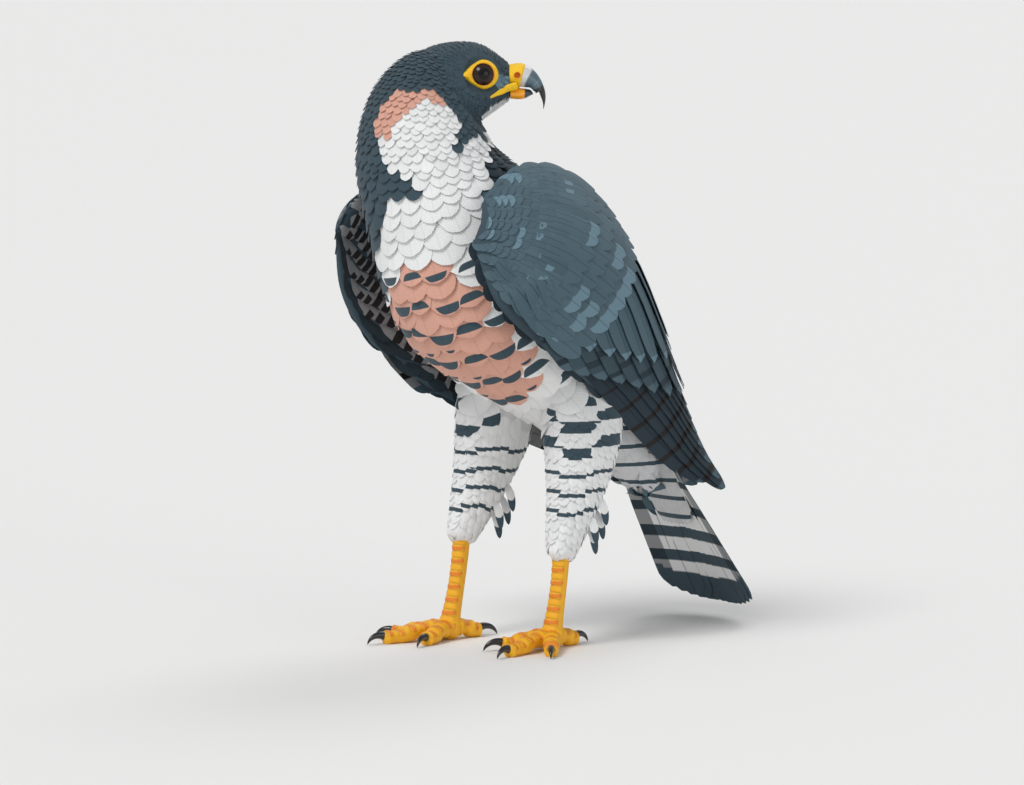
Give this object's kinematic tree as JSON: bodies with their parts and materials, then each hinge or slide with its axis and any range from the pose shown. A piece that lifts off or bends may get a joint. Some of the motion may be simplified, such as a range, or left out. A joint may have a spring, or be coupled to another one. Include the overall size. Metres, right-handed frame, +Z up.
{
  "type": "peregrine falcon",
  "caption": "Life-size standing bird of prey with folded wings and a long barred tail, looking back over its shoulder, as a still display model.",
  "frame": {"origin": "on the ground, under the middle of the bird's box", "axes": "+Z up, the bird's breast faces -Y and its left side is at +X"},
  "size_m": [0.1752, 0.2844, 0.3887],
  "materials": {
    "hood": "dark slate feathers",
    "body_plumage": "white feathers with dark bars",
    "wing_plumage": "slate feathers with pale edges",
    "tail_plumage": "grey feathers with dark bars",
    "bare_skin": "yellow scaled skin",
    "bill_horn": "blue-grey horn with a black tip",
    "claw_horn": "black horn",
    "eye": "wet dark brown"
  },
  "bodies": {
    "root": {"head": "hood", "neck": "hood", "torso": "body_plumage", "tail": "tail_plumage", "cere": "bare_skin", "bill_upper": "bill_horn", "bill_lower": "bill_horn", "eye_left": "eye", "eyelid_left": "bare_skin", "thigh_left": "body_plumage", "shank_left": "bare_skin", "wing_left": "wing_plumage", "toe_middle_left": "bare_skin", "claw_middle_left": "claw_horn", "toe_inner_left": "bare_skin", "claw_inner_left": "claw_horn", "toe_outer_left": "bare_skin", "claw_outer_left": "claw_horn", "toe_hind_left": "bare_skin", "claw_hind_left": "claw_horn", "eye_right": "eye", "eyelid_right": "bare_skin", "thigh_right": "body_plumage", "shank_right": "bare_skin", "wing_right": "wing_plumage", "toe_middle_right": "bare_skin", "claw_middle_right": "claw_horn", "toe_inner_right": "bare_skin", "claw_inner_right": "claw_horn", "toe_outer_right": "bare_skin", "claw_outer_right": "claw_horn", "toe_hind_right": "bare_skin", "claw_hind_right": "claw_horn"}
  },
  "joints": []
}
